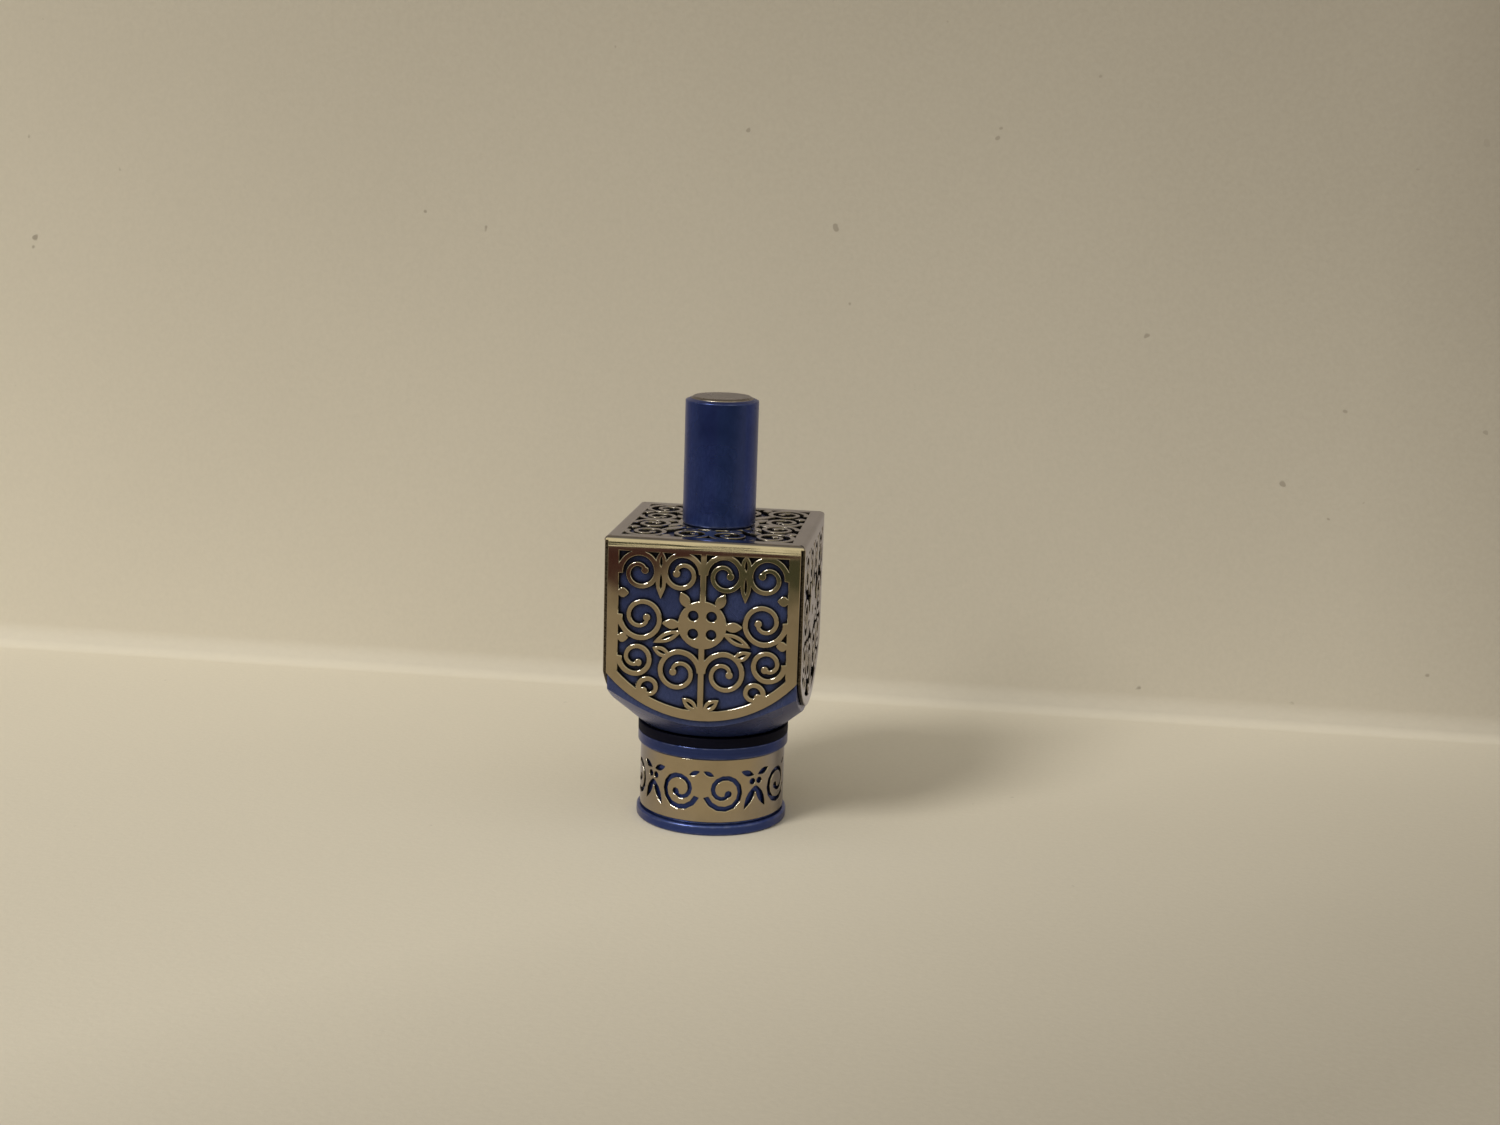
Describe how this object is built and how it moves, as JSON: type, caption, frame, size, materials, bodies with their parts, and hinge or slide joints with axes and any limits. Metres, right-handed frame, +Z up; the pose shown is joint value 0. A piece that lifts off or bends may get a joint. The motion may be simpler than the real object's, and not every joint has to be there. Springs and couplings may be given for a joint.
{
  "type": "dreidel",
  "caption": "Square dreidel with a conical foot and a round stem, wearing a pierced scrollwork steel cover, standing in a low round stand with a matching pierced band.",
  "frame": {"origin": "centre of the stand's underside, on the surface that it stands on", "axes": "+Z up along the axis of the stem and the stand; -Y is the face seen in the picture, +X to its right; the faces are square to X and Y"},
  "size_m": [0.04, 0.04, 0.0886],
  "materials": {
    "anodised_blue": "satin blue anodised",
    "polished_sheet": "polished",
    "disc_steel": "fine turned",
    "stud_steel": "plain",
    "seat_rubber": "smooth black"
  },
  "bodies": {
    "stand": {"stand_spool": "anodised_blue", "stand_band": "polished_sheet", "seat_ring": "seat_rubber"},
    "carrier": {"stem_stud": "stud_steel"},
    "dreidel": {"body": "anodised_blue", "cover": "polished_sheet", "stem": "anodised_blue", "stem_disc": "disc_steel"}
  },
  "joints": [
    {"name": "lift", "type": "slide", "parent": "stand", "child": "carrier", "axis": [0, 0, 1], "range_m": [0, 0.04]},
    {"name": "spin", "type": "hinge", "parent": "carrier", "child": "dreidel", "pos_m": [0, 0, 0.062], "axis": [0, 0, 1], "continuous": true}
  ]
}
